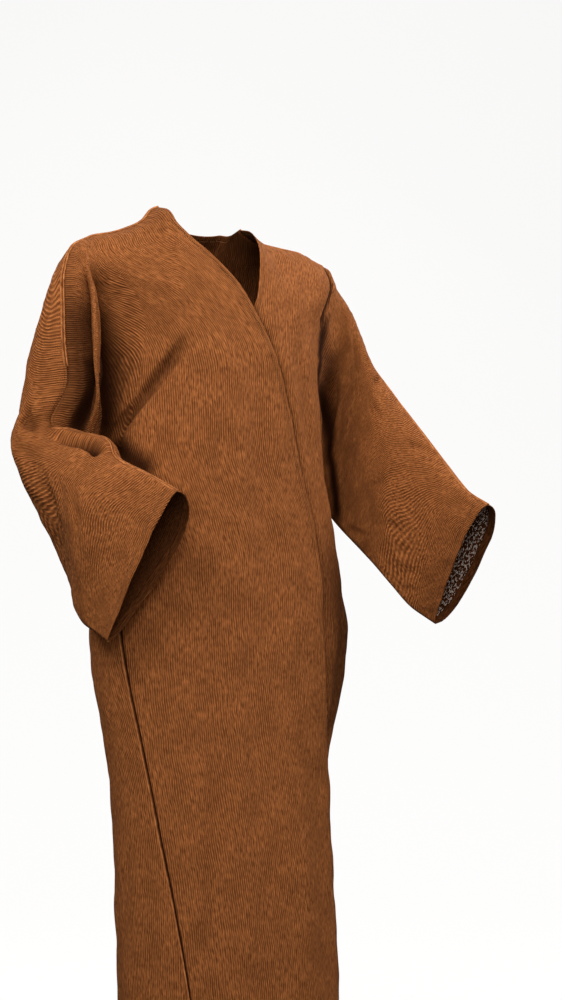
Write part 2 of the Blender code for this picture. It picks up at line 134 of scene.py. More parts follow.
# The sleeves' sections: along, topX, topY, topZ, lowX, lowY, lowZ, the ways foreWay and rearWay in degrees,
# foreOut, rearOut, and the shares late, foreSlack and rearSlack. The lengths are in millimetres.
rightSleeve = (
    (40, -251, -15, -74, -196, 0, -462, -84, 105, 50, 34, 0.5, 0.3, 0.3),
    (90, -272, -26, -118, -207, 6, -490, -78, 120, 64, 42, 0.7, 0.3, 0.3),
    (150, -280, -40, -180, -218, 12, -516, -74, 130, 67, 56, 0.7, 0.3, 0.3),
    (210, -281, -46, -238, -228, 15, -542, -72, 130, 66, 72, 0.7, 0.3, 0.3),
    (270, -276, -45, -297, -234, 15, -570, -60, 135, 58, 82, 0.6, 0.28, 0.28),
    (340, -291, -18, -360, -238, 10, -602, -20, 165, 46, 68, 0.4, 0.26, 0.45),
    (400, -253, -45, -381, -247, -10, -630, 20, 205, 40, 64, 0.2, 0.28, 0.26),
    (450, -226, -82, -393, -255, -35, -652, 25, 205, 44, 71, 0.1, 0.3, 0.36),
    (500, -224, -120, -419, -255, -60, -672, 20, 200, 52, 58, 0, 0.35, 0.36),
    (560, -205, -175, -444, -246, -88, -688, 25, 205, 62, 23, 0, 0.45, 0.35),
    (620, -181, -230, -473, -240, -115, -701, 27, 207, 70, 14, 0, 0.6, 0.6),
)
leftSleeve = (
    (40, 255, 0, -90, 222, 0, -456, -95, 85, 38, 40, 0.4, 0.35, 0.35),
    (80, 278, 0, -120, 236, 0, -474, -96, 84, 44, 48, 0.5, 0.35, 0.35),
    (120, 297, 0, -152, 250, 0, -490, -98, 82, 48, 52, 0.5, 0.35, 0.35),
    (180, 318, -10, -209, 270, -6, -514, -102, 78, 50, 56, 0.4, 0.35, 0.35),
    (260, 350, -45, -276, 298, -22, -548, -125, 55, 48, 58, 0.2, 0.38, 0.38),
    (320, 366, -82, -325, 320, -34, -575, -145, 35, 44, 54, 0.1, 0.42, 0.42),
    (390, 381, -125, -378, 346, -52, -612, -156, 24, 38, 52, 0, 0.46, 0.55),
    (460, 394, -173, -434, 372, -74, -650, -160, 20, 32, 52, 0, 0.5, 0.8),
    (500, 397, -200, -457, 388, -90, -666, -161, 19, 29, 52, 0, 0.55, 1),
    (540, 409, -235, -478, 400, -104, -678, -162, 18, 26, 54, 0, 0.6, 1.2),
)

# Soft folds that hang down the body, by their angle and width in degrees round it, with lengths in
# millimetres: a trough's depth is positive
hangingFolds = (
    # angle, width, depth, startDrop, fullDrop
    (-21, 13, 7, 250, 900),
    (5, 8, 4, 150, 400),
    (-48, 12, -4, 600, 1100),
    (30, 12, -4, 600, 1100),
    (104, 10, 12, 700, 1200),
    (128, 11, -8, 600, 1200),
    (152, 12, 14, 300, 1100),
    (180, 13, -10, 250, 1000),
    (207, 12, 15, 350, 1150),
    (230, 11, -7, 600, 1200),
    (250, 10, 9, 750, 1250),
)


def hermite(t, width, before, after, slopeBefore, slopeAfter):
    # the smooth curve between two points, by the share of the way and the slopes at them
    return (
        (1 + 2 * t) * (1 - t) ** 2 * before
        + t * (1 - t) ** 2 * width * slopeBefore
        + t * t * (3 - 2 * t) * after
        - t * t * (1 - t) * width * slopeAfter
    )


def inMetres(table):
    return [[value / 1000 for value in row] for row in table]


def through(table, column):
    # a smooth curve through one column of a table, with no overshoot
    x = np.array([row[0] for row in table], float)
    y = np.array([row[column] for row in table], float)
    step = np.diff(x)
    rise = np.diff(y) / step
    slope = np.zeros(len(x))
    slope[0], slope[-1] = rise[0], rise[-1]
    for i in range(1, len(x) - 1):
        if rise[i - 1] * rise[i] > 0:
            before, after = 2 * step[i] + step[i - 1], step[i] + 2 * step[i - 1]
            slope[i] = (before + after) / (before / rise[i - 1] + after / rise[i])

    def at(value):
        value = np.clip(np.asarray(value, float), x[0], x[-1])
        i = np.clip(np.searchsorted(x, value) - 1, 0, len(x) - 2)
        return hermite((value - x[i]) / step[i], step[i], y[i], y[i + 1], slope[i], slope[i + 1])

    return at


def flow(knots, points, at):
    # a smooth curve through points at knots
    knots = np.asarray(knots, float)
    step = np.diff(knots)
    rise = np.diff(points, axis=0) / step[:, None]
    slope = np.empty_like(points)
    slope[0], slope[-1] = rise[0], rise[-1]
    share = (step[:-1] / (step[:-1] + step[1:]))[:, None]
    slope[1:-1] = rise[:-1] * (1 - share) + rise[1:] * share
    i = np.clip(np.searchsorted(knots, at) - 1, 0, len(knots) - 2)
    t = ((at - knots[i]) / step[i])[:, None]
    return hermite(t, step[i][:, None], points[i], points[i + 1], slope[i], slope[i + 1])


def ease(value, start, end):
    t = np.clip((value - start) / (end - start), 0, 1)
    return t * t * (3 - 2 * t)


def window(value, start, full, fading, end):
    # rises from 0 to 1, stays there and falls back to 0
    return ease(value, start, full) * (1 - ease(value, fading, end))


def unit(vectors):
    return vectors / np.maximum(np.linalg.norm(vectors, axis=-1, keepdims=True), 1e-9)


def lengthAlong(line):
    return np.concatenate([[0], np.cumsum(np.linalg.norm(np.diff(line, axis=0), axis=1))])


def lengthToEnd(line):
    # the last point has 0, and those before it less
    steps = np.linalg.norm(np.diff(line, axis=0), axis=1)
    return np.concatenate([-np.cumsum(steps[::-1])[::-1], [0.0]])


def resampled(line, count):
    length = lengthAlong(line)
    at = np.linspace(0, length[-1], count)
    return np.stack([np.interp(at, length, line[:, k]) for k in range(3)], -1)


centreX, centreY, halfRight, halfLeft, depthFront, depthBack = (
    through(inMetres(bodyRings), k) for k in range(1, 7))
shoulderZ = through(inMetres(shoulderLine), 1)
edgeRight, edgeLeft, edgeFlare = (through(inMetres(freeEdges), k) for k in range(1, 4))
seamRight, seamLeft = through(sideSeams, 1), through(sideSeams, 2)
armholeFront, armholeBack = through(armholeLine, 1), through(armholeLine, 2)


def bodyPoint(drop, angle, inset=0.0):
    turn = np.radians(angle)
    for centre, width, depth, start, full in hangingFolds:
        aside = (angle - centre + 180) % 360 - 180
        fullness = ease(drop, start / 1000, full / 1000)
        inset = inset + depth / 1000 * fullness * np.exp(-((aside / width) ** 2))
    side, ahead = np.sin(turn), np.cos(turn)
    half = np.where(side > 0, halfLeft(drop), halfRight(drop)) - inset
    depth = np.maximum(np.where(ahead > 0, depthFront(drop), depthBack(drop)) - inset, 0)
    x = centreX(drop) + half * side
    y = centreY(drop) - depth * ahead
    z = -drop + shoulderZ(x) * (1 - ease(drop, 0, cut["shoulderReach"]))
    return np.stack([x, y, z], -1)


def edgeAngle(edge, drop):
    across = edge(drop) - centreX(drop)
    return np.degrees(np.arcsin(across / np.where(across > 0, halfLeft(drop), halfRight(drop))))


def sleevePoint(station, share, front):
    # a place on one half of a sleeve's section, by the share of the way down from the overarm seam
    top, low = np.array(station[1:4]) / 1000, np.array(station[4:7]) / 1000
    late, slack = station[11], station[12 if front else 13]
    turn, out = np.radians(station[7 if front else 8]), station[9 if front else 10] / 1000
    way = np.array([np.cos(turn), np.sin(turn), 0])
    armShare = cut["armShare"]
    roundArm = np.sqrt(np.clip(1 - (1 - share / armShare) ** 2, 0, 1))
    below = np.clip((share - armShare) / (1 - armShare), 0, 1)
    hanging = (1 - slack) * (1 - below) ** 2 * (1 + 2 * below) + slack * np.sqrt(1 - below**2)
    bulge = out * np.where(share < armShare, roundArm, hanging)
    apart = cut["halfGap"] * ease(share, 0, 0.3) + cut["seamSpread"] * ease(share, 0.8, 1)
    down = share * (1 - late) + share**2 * late
    return top + (low - top) * np.array([share, share, down]) + way * (bulge + apart)


class Half:
    # a front, or one half of the back, with its half of the sleeve
    def __init__(self, panel, side):
        self.panel, self.side, self.front = panel, side, panel != "back"
        self.name = panel if self.front else "back_right" if side < 0 else "back_left"
        self.grid = drawing[self.name]
        self.edge, self.seam, self.sleeve = (
            (edgeRight, seamRight, rightSleeve) if side < 0 else (edgeLeft, seamLeft, leftSleeve))
        self.neck = 180 - abs(float(edgeAngle(self.edge, 0.0)))

    def startAngle(self, drop):
        return edgeAngle(self.edge, drop) * self.side if self.front else np.full_like(drop, 180.0)

    def inset(self, across, drop):
        # the left front lies under the right one, whose edge flares out
        lap = edgeRight(drop)
        if self.panel == "front_left":
            under = 1 - ease(across, lap, lap + cut["lapReach"])
            return cut["lapGap"] * under * ease(drop, *cut["lapStart"])
        if self.panel == "front_right":
            return -edgeFlare(drop) * ease(across, 0.0, lap)
        return 0.0

    def body(self, drop, angle):
        angle = angle * self.side
        return bodyPoint(drop, angle, self.inset(bodyPoint(drop, angle)[..., 0], drop))

    def neckDrop(self, angle):
        if self.front:
            return np.zeros_like(angle)
        across = np.sin(np.radians(angle)) / np.sin(np.radians(self.neck))
        return cut["backNeckDrop"] * np.sqrt(np.clip(1 - across**2, 0, 1))

    def spread(self):
        # the columns stand evenly over the body, and close together beside the side seam
        close, strip = drawing["closeColumns"], drawing["closeStrip"]
        even = np.linspace(0, 1 - strip, self.grid["body"] + 1 - close)
        return np.concatenate([even, 1 - strip + strip * np.arange(1, close + 1) / close])

    def turns(self, share, start, stop):
        even = self.spread()
        if self.front:
            return start + (stop - start) * even
        split = even[self.grid["neck"]]
        corner = self.neck + (180 + (stop - 180) * split - self.neck) * ease(share, 0, 0.4)
        return np.interp(even, [0, split, 1], [180, corner, stop])

    def row(self, share):
        # one row of the yoke, from the inner edge past the armhole to the cuff
        drop = np.full(self.grid["body"] + 1, cut["armholeDepth"] * share)
        stop = float(armholeFront(share) if self.front else armholeBack(share))
        angles = self.turns(share, self.startAngle(drop), stop)
        drop = drop + self.neckDrop(angles) * (1 - share)
        body = self.body(drop, angles)
        first = sleevePoint(self.sleeve[0], share, self.front)
        lead = self.body(drop[-1:], angles[-1:] + drawing["leadShare"] * (angles[:1] - stop))[0]
        straight = body[-1] - unit(first - body[-1]) * np.linalg.norm(lead - body[-1])
        lead = straight + (lead - straight) * window(share, 0, 0.15, 0.6, 1)
        knots = [-float(np.linalg.norm(lead - body[-1])), 0.0]
        knots += [station[0] / 1000 for station in self.sleeve]
        points = [lead, body[-1]] + [sleevePoint(station, share, self.front) for station in self.sleeve]
        even = np.arange(1, self.grid["sleeve"] + 1) / self.grid["sleeve"]
        along = knots[-1] * even ** drawing["columnCrowding"]
        arm = flow(knots, np.array(points), along)
        return np.concatenate([body, arm]), np.concatenate([lengthToEnd(body), along])

    def skirtRow(self, drop):
        start = self.startAngle(np.full(self.grid["body"] + 1, drop))
        stop = float(self.seam(drop))
        body = self.body(np.full_like(start, drop), start + (stop - start) * self.spread())
        return body, lengthToEnd(body)


# How finely the halves are drawn: columns over the body, the neck's share of them on the back, columns down
# the sleeve, rows above the underarm seam and rows of the skirt
drawing = {
    "front_right": {"body": 104, "sleeve": 132, "yoke": 96, "skirt": 160},
    "front_left": {"body": 96, "sleeve": 132, "yoke": 96, "skirt": 150},
    "back_right": {"body": 84, "neck": 24, "sleeve": 112, "yoke": 66, "skirt": 100},
    "back_left": {"body": 84, "neck": 28, "sleeve": 100, "yoke": 66, "skirt": 100},
    "closeColumns": 6,
    "closeStrip": 0.016,
    "columnCrowding": 1.15,
    "rowCrowding": 1.25,
    "leadShare": 0.12,
}

# The folds and creases below are strokes from one place to another, in millimetres. A place is given by the
# distance past the armhole and below the overarm seam. A row holds along0, down0, along1, down1, width and
# depth, and in most tables one number more. A trough's depth is positive.

# The two largest folds of the right front
bigFolds = (
    (80, 46, 260, 52, 18, 20),
    (22, 70, 28, 340, 22, 24),
)

# Deep valleys with steep sides, and the ridges beside them. The last number is painted shade: how much darker
# the cloth is painted at the bottom, where little light reaches. Rows without depth only paint shade, in gaps
# and on cloth turned from the light.
valleys = {
    "front_right": (
        (70, 36, 345, 52, 20, 18, 0),
        (80, 80, 330, 92, 16, -6, 0),
        (100, 18, 320, 24, 30, 0, 0.78),
        (190, 30, 350, 52, 36, 0, 1),
        (375, 18, 452, 24, 12, 0, 0.95),
        (26, 70, 26, 300, 18, 16, 0),
        (52, 105, 26, 390, 20, 0, 1),
        (-78, 210, 18, 382, 12, 13, 0.55),
        (45, 372, -85, 438, 18, 6, 0.95),
    ),
    "front_left": (
        (-15, -30, 10, 175, 5.5, 4, 0.95),
        (13, 110, 13, 330, 8, 0, 1),
        (26, 170, 50, 310, 22, 4, 0.7),
        (20, 230, 100, 370, 34, 10, 0),
        (12, 235, 90, 372, 26, 0, 1),
        (60, 330, 160, 428, 20, 0, 1),
        (-110, 500, -70, 880, 60, 0, 0.58),
    ),
    "back_right": (
        (362, 13, 468, 15, 7.5, 14, 0),
        (385, 20, 472, 11, 11, 4, 1),
        (292, 50, 345, 4, 12, 10, 0.6),
        (30, 120, 45, 330, 16, 10, 0.5),
        (-60, 230, 10, 380, 15, 9, 0.25),
    ),
    "back_left": (
        (30, 100, 60, 330, 16, 12, 0.5),
        (-55, 210, 15, 370, 14, 9, 0.25),
        (225, 10, 330, 150, 16, 9, 0.25),
    ),
}

# Creases with soft ridges beside them. The last number is how far each bows aside.
armholeCreases = {
    "front_right": (
        (-110, 120, -40, 215, 14, 3, 6),
        (120, 180, 200, 330, 14, 3.5, -8),
        (300, 120, 350, 260, 13, 3.5, 10),
        (440, 60, 500, 210, 12, 2.5, -6),
        (480, 250, 560, 330, 14, 2.5, 6),
    ),
    "front_left": (
        (243, 308, 369, 80, 11, 3.2, 12),
        (190, 425, 285, 382, 8, 5, 4),
        (345, 50, 388, 6, 8, 4, 2),
        (160, 24, 172, 95, 8, 4.5, 4),
        (222, 20, 192, 85, 7, 5, -4),
        (95, 80, 150, 200, 13, 3.5, 10),
        (300, 340, 410, 250, 12, 3, -8),
        (190, 150, 250, 100, 10, 3, 4),
    ),
    "back_right": (
        (120, 50, 220, 240, 14, 3.5, 12),
        (350, 60, 400, 260, 14, 4.5, -10),
        (480, 80, 520, 280, 12, 2.5, 8),
        (230, 300, 320, 360, 13, 3.5, 6),
        (-120, 80, -60, 210, 16, 3.5, -6),
    ),
    "back_left": (
        (130, 60, 200, 230, 14, 3.5, -10),
        (270, 240, 380, 100, 12, 3.5, 10),
        (400, 280, 480, 180, 12, 3, -6),
        (-100, 90, -45, 200, 15, 3.5, 6),
    ),
}

# More of them, by the distance from the panel's inner edge instead of the armhole
edgeCreases = {
    "front_right": (
        (128, 290, 186, 520, 16, 3, 6),
        (40, 190, 100, 480, 20, 4, -4),
        (100, 470, 120, 720, 22, 3, 6),
        (222, 820, 292, 1300, 20, 4.5, -6),
        (60, 800, 75, 1350, 26, 3.5, 8),
        (150, 640, 170, 980, 18, 2.5, -6),
    ),
    "front_left": (
        (107, 220, 164, 420, 14, 4.5, 4),
        (190, 560, 200, 800, 16, 3.5, -6),
        (280, 640, 255, 1000, 18, 4.5, 8),
        (330, 900, 325, 1350, 20, 4, -8),
    ),
    "back_right": (
        (50, 60, 110, 260, 16, 3.5, 6),
        (120, 420, 140, 760, 20, 4, -8),
        (60, 700, 70, 1150, 22, 4, 6),
    ),
    "back_left": (
        (60, 70, 100, 250, 16, 3, -4),
        (150, 430, 170, 800, 20, 4, 8),
        (40, 620, 55, 1000, 20, 3.5, -6),
        (240, 760, 250, 1200, 20, 4, 6),
    ),
}

# Where strokes of each kind begin, are full, begin to fade and end, as shares of their length
strokeEnds = {
    "fold": (-0.15, 0.2, 0.8, 1.15),
    "valley": (-0.08, 0.30, 0.85, 1.10),
    "crease": (-0.1, 0.3, 0.65, 1.1),
}


def strokes(kind, table, along, down):
    # each row with how full it is at every place, its depth, and how many widths aside of it the place lies
    for row in table:
        along0, down0, along1, down1, width, depth = (value / 1000 for value in row[:6])
        run = np.array([along1 - along0, down1 - down0])
        length = float(np.hypot(*run))
        run = run / length
        ahead = ((along - along0) * run[0] + (down - down0) * run[1]) / length
        aside = ((along - along0) * run[1] - (down - down0) * run[0]) / width
        if kind == "crease":
            aside = aside + row[6] / row[4] * (1 - (2 * np.clip(ahead, 0, 1) - 1) ** 2)
        yield row, window(ahead, *strokeEnds[kind]), depth, aside


def foldDepth(table, along, down):
    return sum(depth * ends * np.exp(-(aside**2) * 1.5)
               for row, ends, depth, aside in strokes("fold", table, along, down))


def valleyDepth(table, along, down):
    total, dark = np.zeros_like(along), np.zeros_like(along)
    for row, ends, depth, aside in strokes("valley", table, along, down):
        total += depth * ends * np.exp(-(aside**2) * (0.4 + 0.6 * aside**2))
        # painted shade, darkest at the bottom of the stroke
        dark = np.fmax(dark, row[6] * ends * np.exp(-(aside**2) * (0.5 + 0.5 * aside**2)))
    return total, dark


def creaseDepth(table, along, down):
    # a trough, and a soft ridge on each of its sides
    total = np.zeros_like(along)
    for row, ends, depth, aside in strokes("crease", table, along, down):
        ridges = 0.40 * np.exp(-((aside - 1.7) ** 2)) + 0.30 * np.exp(-((aside + 1.8) ** 2))
        total += depth * ends * (np.exp(-(aside**2)) - ridges)
    return total


# Slow waves: how many pairs cross, how far they turn, how quick they are, a full round, and their usual sum
waves = {"count": 7, "turn": 0.6, "slow": 0.6, "quick": 1.6, "round": 6.28, "sum": 2.6}


def rolling(seed, u, v, wide, long):
    # a smooth uneven field from about -1 to 1
    pick = np.random.default_rng(seed)

    def wave(place, length):
        quickness = pick.uniform(waves["slow"], waves["quick"])
        return np.sin(place / length * quickness * waves["round"] + pick.uniform(0, waves["round"]))

    total = np.zeros_like(u)
    for k in range(waves["count"]):
        turn = pick.uniform(-waves["turn"], waves["turn"])
        a = u * np.cos(turn) + v * np.sin(turn) * wide / long
        b = v * np.cos(turn) - u * np.sin(turn) * long / wide
        total += wave(a, wide) * wave(b, long)
    return total / waves["sum"]


ribDrift = {
    # drop, and how far the ribs have drifted away from the front edge there
    "front_right": through(((0, 0), (0.10, 0), (0.22, -0.020), (0.42, 0.022), (1.42, 0.023)), 1),
    "front_left": through(((0, 0), (0.10, 0), (0.18, 0.012), (0.24, 0.013), (0.47, 0.065), (1.42, 0.066)), 1),
    "back": np.zeros_like,
}
# How the ribs turn past the armhole, where they come to run round the arm
ribTurn = {
    "reach": 0.22,
    "shift": 0.16,
    "tilt": 0.10,
    "tiltDepth": 0.30,
    "tiltFade": (0.30, 0.50),
    "slightTilt": 0.03,
    "slightDepth": 0.12,
}

# How the cloth lies beside its edges and seams, in metres: the distances over which it stops being quiet, the
# unevenness of the rest, the turned edges and the painted shade in them, the painted shadow under the right
# front's edge, and the painted daylight through the sheer cloth inside the left cuff
lay = {
    "calm": (0.002, 0.03),
    "calmLap": (-0.002, 0.02),
    "valleyEnd": (0.0, 0.006),
    "creaseEnd": (0.0, 0.012),
    "unevenness": ((0.0014, 0.09, 0.16), (0.0006, 0.020, 0.075)),
    "turnedEdge": (0.0008, 0.0042),
    "turnedOver": 0.05,
    "turnedShade": 0.95,
    "edgeWidth": (0.006, 0.010),
    "lapShade": 0.65,
    "lapShadePlace": 0.003,
    "lapShadeWidth": 0.0035,
    "lapShadeStart": (0.05, 0.12),
    "edgeStart": (0.02, 0.10),
    "backShade": (0.001, 0.010),
    "sheer": (0.014, 0.020, 0.09, 0.16),
}
# At the right elbow the seam stands out as a short flap, with a hollow under it
elbowFlap = {
    "along": (0.350, 0.380, 0.464, 0.484),
    "lift": 0.012,
    "way": (-0.30, -0.72, 0.62),
    "frontReach": 0.030,
    "backReach": 0.010,
}


def outward(half, places):
    # the way out of the cloth at every place
    ahead, aside = np.gradient(places, axis=0), np.gradient(places, axis=1)
    last, side = half.grid["yoke"], half.grid["body"]
    ahead[last, side + 1:] = places[last, side + 1:] - places[last - 1, side + 1:]
    aside[last + 1:, side] = places[last + 1:, side] - places[last + 1:, side - 1]
    normal = unit(np.cross(ahead, aside))
    return -normal if half.front != (half.side > 0) else normal


def fineHalf(panel, side, seed):
    # the places of a half's yoke and skirt, where each lies in the flat cut, and how much painted shade and
    # painted daylight each takes
    half = Half(panel, side)
    grid, armholeDepth = half.grid, cut["armholeDepth"]
    shares = (np.arange(grid["yoke"] + 1) / grid["yoke"]) ** drawing["rowCrowding"]
    yoke, across = (np.array(part) for part in zip(*(half.row(share) for share in shares)))
    drops = np.linspace(armholeDepth, cut["length"], grid["skirt"] + 1)[1:]
    skirt, skirtAcross = (np.array(part) for part in zip(*(half.skirtRow(drop) for drop in drops)))
    blank = np.full((len(skirt), grid["sleeve"], 3), np.nan)
    places = np.concatenate([yoke, np.concatenate([skirt, blank], axis=1)])
    along = np.concatenate([across, np.concatenate([skirtAcross, blank[..., 0]], axis=1)])
    down = np.concatenate([armholeDepth * shares, drops])[:, None] + np.zeros_like(along)
    fromEdge = along - along[:, :1]
    # ribs run down the body beside the front edge, and round the arm on the sleeve
    drift = ribDrift[panel](down)
    wideTilt = ribTurn["tilt"] * ease(down, 0, ribTurn["tiltDepth"])
    slightTilt = ribTurn["slightTilt"] * ease(down, 0, ribTurn["slightDepth"])
    tilt = wideTilt * (1 - ease(along, *ribTurn["tiltFade"])) + slightTilt
    atArmhole = -along[:, :1] - drift - ribTurn["shift"] - (wideTilt + slightTilt)
    onSleeve = ribTurn["shift"] + along + tilt + atArmhole * (1 - ease(along, 0.0, ribTurn["reach"]))
    ribs = np.where(along > 0, onSleeve, fromEdge - drift)

    # seams and laps stay quiet
    cuff = along[0, -1] - along
    onSkirt = down > armholeDepth
    toSeam = np.where(along > 0, np.minimum(down, armholeDepth - down), down)
    toSeam = np.where(onSkirt, -along, toSeam)
    calm = ease(toSeam, *lay["calm"])
    pastLap = places[..., 0] - edgeRight(np.clip(down, 0, cut["length"]))
    if panel == "front_left":
        calm = calm * ease(pastLap, *lay["calmLap"])
    push, shade = valleyDepth(valleys[half.name], along, down)
    push *= ease(toSeam, *lay["valleyEnd"])
    if panel == "front_right":
        push += foldDepth(bigFolds, along, down)
    push += creaseDepth(armholeCreases[half.name], along, down) * ease(toSeam, *lay["creaseEnd"])
    push += creaseDepth(edgeCreases[half.name], fromEdge, down) * calm
    for k, (depth, wide, long) in enumerate(lay["unevenness"]):
        push += depth * rolling(seed + k, fromEdge, down, wide, long) * calm
    if half.front:
        # the front's edge turns in beside the side seam
        turnedIn = np.where(onSkirt, 1 - ease(-along, *lay["turnedEdge"]), 0.0)
        push += cut["seamTurnIn"] * turnedIn * ease(down, armholeDepth, armholeDepth + lay["turnedOver"])
        # painted shade in the groove where the edge turns in
        shade = np.fmax(shade, lay["turnedShade"] * turnedIn)
    else:
        shade = shade * ease(toSeam, *lay["backShade"])
    if panel == "front_right":
        # the doubled free edge stands up a little
        push -= cut["edgeLift"] * (1 - ease(fromEdge, *lay["edgeWidth"])) * ease(down, *lay["edgeStart"])
    if panel == "front_left":
        # painted shadow on the left front under the right front's edge
        underEdge = np.exp(-(((pastLap - lay["lapShadePlace"]) / lay["lapShadeWidth"]) ** 2))
        shade = np.fmax(shade, lay["lapShade"] * underEdge * ease(down, *lay["lapShadeStart"]))
    # painted daylight through the sheer cloth inside the left cuff
    sheer = window(cuff, *lay["sheer"]) if half.name == "back_left" else np.zeros_like(along)
    places = places - outward(half, places) * push[..., None]
    if side < 0:
        reach = elbowFlap["frontReach"] if half.front else elbowFlap["backReach"]
        lift = elbowFlap["lift"] * window(along, *elbowFlap["along"]) * (1 - ease(down, 0, reach))
        places = places + lift[..., None] * unit(np.array(elbowFlap["way"]))
    fine = {"places": places, "along": along, "fromEdge": fromEdge, "down": down, "ribs": ribs, "cuff": cuff,
            "outward": outward(half, places), "half": half, "shade": shade, "sheer": sheer}
    # the sewn edges stay a little apart under their seams
    last, corner = grid["yoke"], grid["body"]
    for edge, inner in (
        (places[0], places[1]),
        (places[last, corner + 1:], places[last - 1, corner + 1:]),
        (places[last:, corner], places[last:, corner - 1]),
    ):
        edge += unit(inner - edge) * cut["edgeBack"]
    return fine


fineRightFront = fineHalf("front_right", -1, 11)
fineLeftFront = fineHalf("front_left", 1, 23)
fineRightBack = fineHalf("back", -1, 37)
fineLeftBack = fineHalf("back", 1, 51)
print("cut drawn")

# The camera stands a little to the garment's right and looks level at it
camera = {
    "place": (-1.45, -2.511, -0.6367),
    "turn": (90, 0, -30),
    "lens": 62.64,
    "shift": (0.076, 0.1),
}
cameraData = bpy.data.cameras.new("camera")
cameraObject = bpy.data.objects.new("camera", cameraData)
scene.collection.objects.link(cameraObject)
cameraObject.location = camera["place"]
cameraObject.rotation_euler = [np.radians(value) for value in camera["turn"]]
cameraData.lens = camera["lens"]
cameraData.shift_x, cameraData.shift_y = camera["shift"]
scene.camera = cameraObject
scene.view_settings.view_transform = "Standard"


class Wires:
    # short ways to place and join nodes
    def __init__(self, tree):
        self.tree = tree

    def place(self, socket, value):
        if hasattr(value, "is_output"):
            self.tree.links.new(value, socket)
        elif value is not None:
            socket.default_value = value

    def add(self, kind, inputs, **settings):
        node = self.tree.nodes.new("ShaderNode" + kind)
        for label, value in settings.items():
            setattr(node, label, value)
        for label, value in inputs.items():
            self.place(node.inputs[label], value)
        return node.outputs

    def math(self, operation, a, b=None, c=None, clamp=False):
        return self.add("Math", {0: a, 1: b, 2: c}, operation=operation, use_clamp=clamp)[0]

    def times(self, a, b):
        return self.math("MULTIPLY", a, b)

    def plus(self, a, b):
        return self.math("ADD", a, b)

    def less(self, a, b):
        return self.math("SUBTRACT", a, b)

    def noise(self, vector, scale, detail, roughness=0.5):
        inputs = {"Vector": vector, "Scale": scale, "Detail": detail, "Roughness": roughness}
        return self.add("TexNoise", inputs)[0]

    def stretch(self, vector, scale):
        return self.add("Mapping", {"Vector": vector, "Scale": scale})[0]

    def smooth(self, value, low, high, toLow=0.0, toHigh=1.0):
        inputs = {0: value, 1: low, 2: high, 3: toLow, 4: toHigh}
        return self.add("MapRange", inputs, interpolation_type="SMOOTHSTEP")[0]

    def mix(self, share, first, second):
        return self.add("Mix", {0: share, 6: first, 7: second}, data_type="RGBA")[2]

    def uvMap(self, label):
        return self.add("UVMap", {}, uv_map=label)[0]


def newGroup(name, inputs, outputs):
    # an input without a value is a vector, and every other socket is a number
    group = bpy.data.node_groups.new(name, "ShaderNodeTree")
    for label, value in inputs.items():
        kind = "NodeSocketVector" if value is None else "NodeSocketFloat"
        socket = group.interface.new_socket(name=label, in_out="INPUT", socket_type=kind)
        if value is not None:
            socket.default_value = value
    for label in outputs:
        group.interface.new_socket(name=label, in_out="OUTPUT", socket_type="NodeSocketFloat")
    return group, group.nodes.new("NodeGroupInput").outputs, group.nodes.new("NodeGroupOutput").inputs


# How the crepe looks: the ribs' lean and sharpness, and where patches of each kind begin and are full
crepe = {
    "slowLean": 2.2,
    "sharpness": 1.5,
    "swell": (0.30, 0.70, 0.50, 1.10),
    "cells": (0.30, 0.72),
    "broken": (0.30, 0.65, 0.40, 1.60),
    "gaps": (0.50, 0.60),
}
# The stitches: where a dash begins and ends, and how far aside its thread, its groove and the hem reach
stitches = {
    "begin": (0.06, 0.16),
    "end": (0.80, 0.90, 1.0, 0.0),
    "thread": (0.0003, 0.0006, 1.0, 0.0),
    "groove": (0.0004, 0.0016, 1.0, 0.0),
    "hem": (-0.0005, 0.0010, 1.0, 0.0),
}
# How many patches of each kind there are in a metre, across the ribs and along them
patches = {
    "slowWaver": (20, 22, 1),
    "quickWaver": (75, 90, 1),
    "swell": (200, 125, 1),
    "broken": (30, 18, 1),
    "cellsAlong": 60.0,
    "gaps": (300, 95, 1),
    "dye": (9, 9, 9),
}


def crinkleGroup():
    # ribs of crepe that wander, merge and break into long cells; the place is the flat cut's, in metres
    inputs = {"Place": None, "Pitch": 0.0036, "Waver": 0.0018, "Depth": 0.0012, "Broken": 0.3}
    group, start, end = newGroup("crinkle", inputs, ("Height", "Ridge"))
    wires = Wires(group)
    place, pitch = start["Place"], start["Pitch"]
    split = wires.add("SeparateXYZ", {0: place})
    slow = wires.noise(wires.stretch(place, patches["slowWaver"]), 1.0, 0.0)
    quick = wires.noise(wires.stretch(place, patches["quickWaver"]), 1.0, 0.5)
    lean = wires.times(wires.less(slow, 0.5), wires.times(start["Waver"], crepe["slowLean"]))
    quickLean = wires.times(wires.less(quick, 0.5), start["Waver"])
    rib = wires.math("DIVIDE", wires.plus(split[0], wires.plus(lean, quickLean)), pitch)
    wave = wires.math("MULTIPLY_ADD", wires.math("SINE", wires.times(rib, 6.2832)), 0.5, 0.5)
    swell = wires.noise(wires.stretch(place, patches["swell"]), 1.0, 0.0)
    ribs = wires.times(wires.math("POWER", wave, crepe["sharpness"]), wires.smooth(swell, *crepe["swell"]))
    cellPlace = wires.add("CombineXYZ", {0: rib, 1: wires.times(split[1], patches["cellsAlong"])})[0]
    cells = wires.smooth(wires.noise(cellPlace, 1.25, 1.4, 0.55), *crepe["cells"])
    torn = wires.noise(wires.stretch(place, patches["broken"]), 1.0, 1.0)
    share = wires.math("MULTIPLY", start["Broken"], wires.smooth(torn, *crepe["broken"]), clamp=True)
    ridge = wires.plus(wires.times(ribs, wires.less(1.0, share)), wires.times(cells, share))
    wires.place(end["Height"], wires.times(ridge, start["Depth"]))
    wires.place(end["Ridge"], ridge)
    return group


